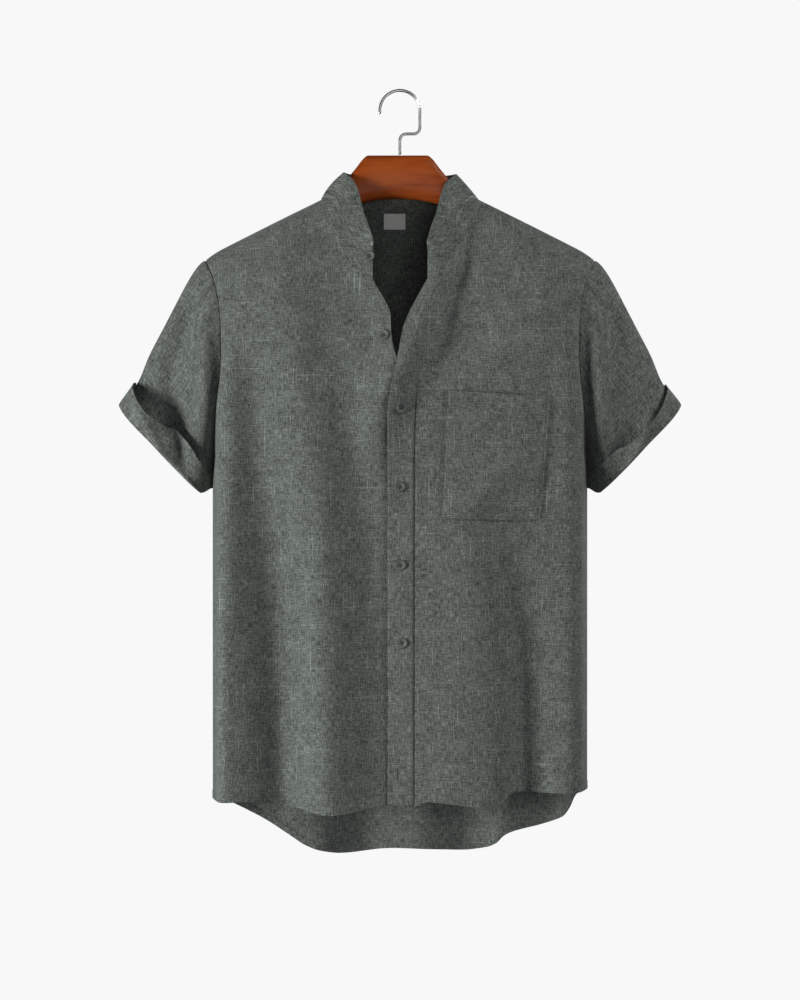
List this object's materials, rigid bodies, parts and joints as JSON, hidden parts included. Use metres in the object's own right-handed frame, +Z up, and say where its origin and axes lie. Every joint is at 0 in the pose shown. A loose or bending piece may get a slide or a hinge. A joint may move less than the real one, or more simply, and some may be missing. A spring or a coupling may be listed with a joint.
{
  "type": "mandarin collar shirt on a wooden hanger",
  "caption": "Short sleeved button front shirt with a standing collar, breast pocket and turned up cuffs, worn by a wooden hanger with a wire hook.",
  "frame": {"origin": "highest point of the inside of the hook, where a rail or peg holds it", "axes": "+Z up, +X to the right of someone who faces the shirt, the front of the shirt faces -Y"},
  "size_m": [0.6236, 0.1462, 0.853],
  "materials": {
    "cloth": "matte slubbed plain weave, grey green",
    "button": "satin, dark grey green",
    "label": "smooth woven, bare",
    "wood": "lacquered, orange brown with fine grain",
    "steel": "polished wire"
  },
  "bodies": {
    "root": {"front_right": "cloth", "front_left": "cloth", "placket": "cloth", "back": "cloth", "collar": "cloth", "sleeve_right": "cloth", "sleeve_left": "cloth", "cuff_right": "cloth", "cuff_left": "cloth", "pocket": "cloth", "button_1": "button", "button_2": "button", "button_3": "button", "button_4": "button", "button_5": "button", "button_6": "button", "label": "label", "hanger_bar": "wood", "hanger_hook": "steel"}
  },
  "joints": []
}
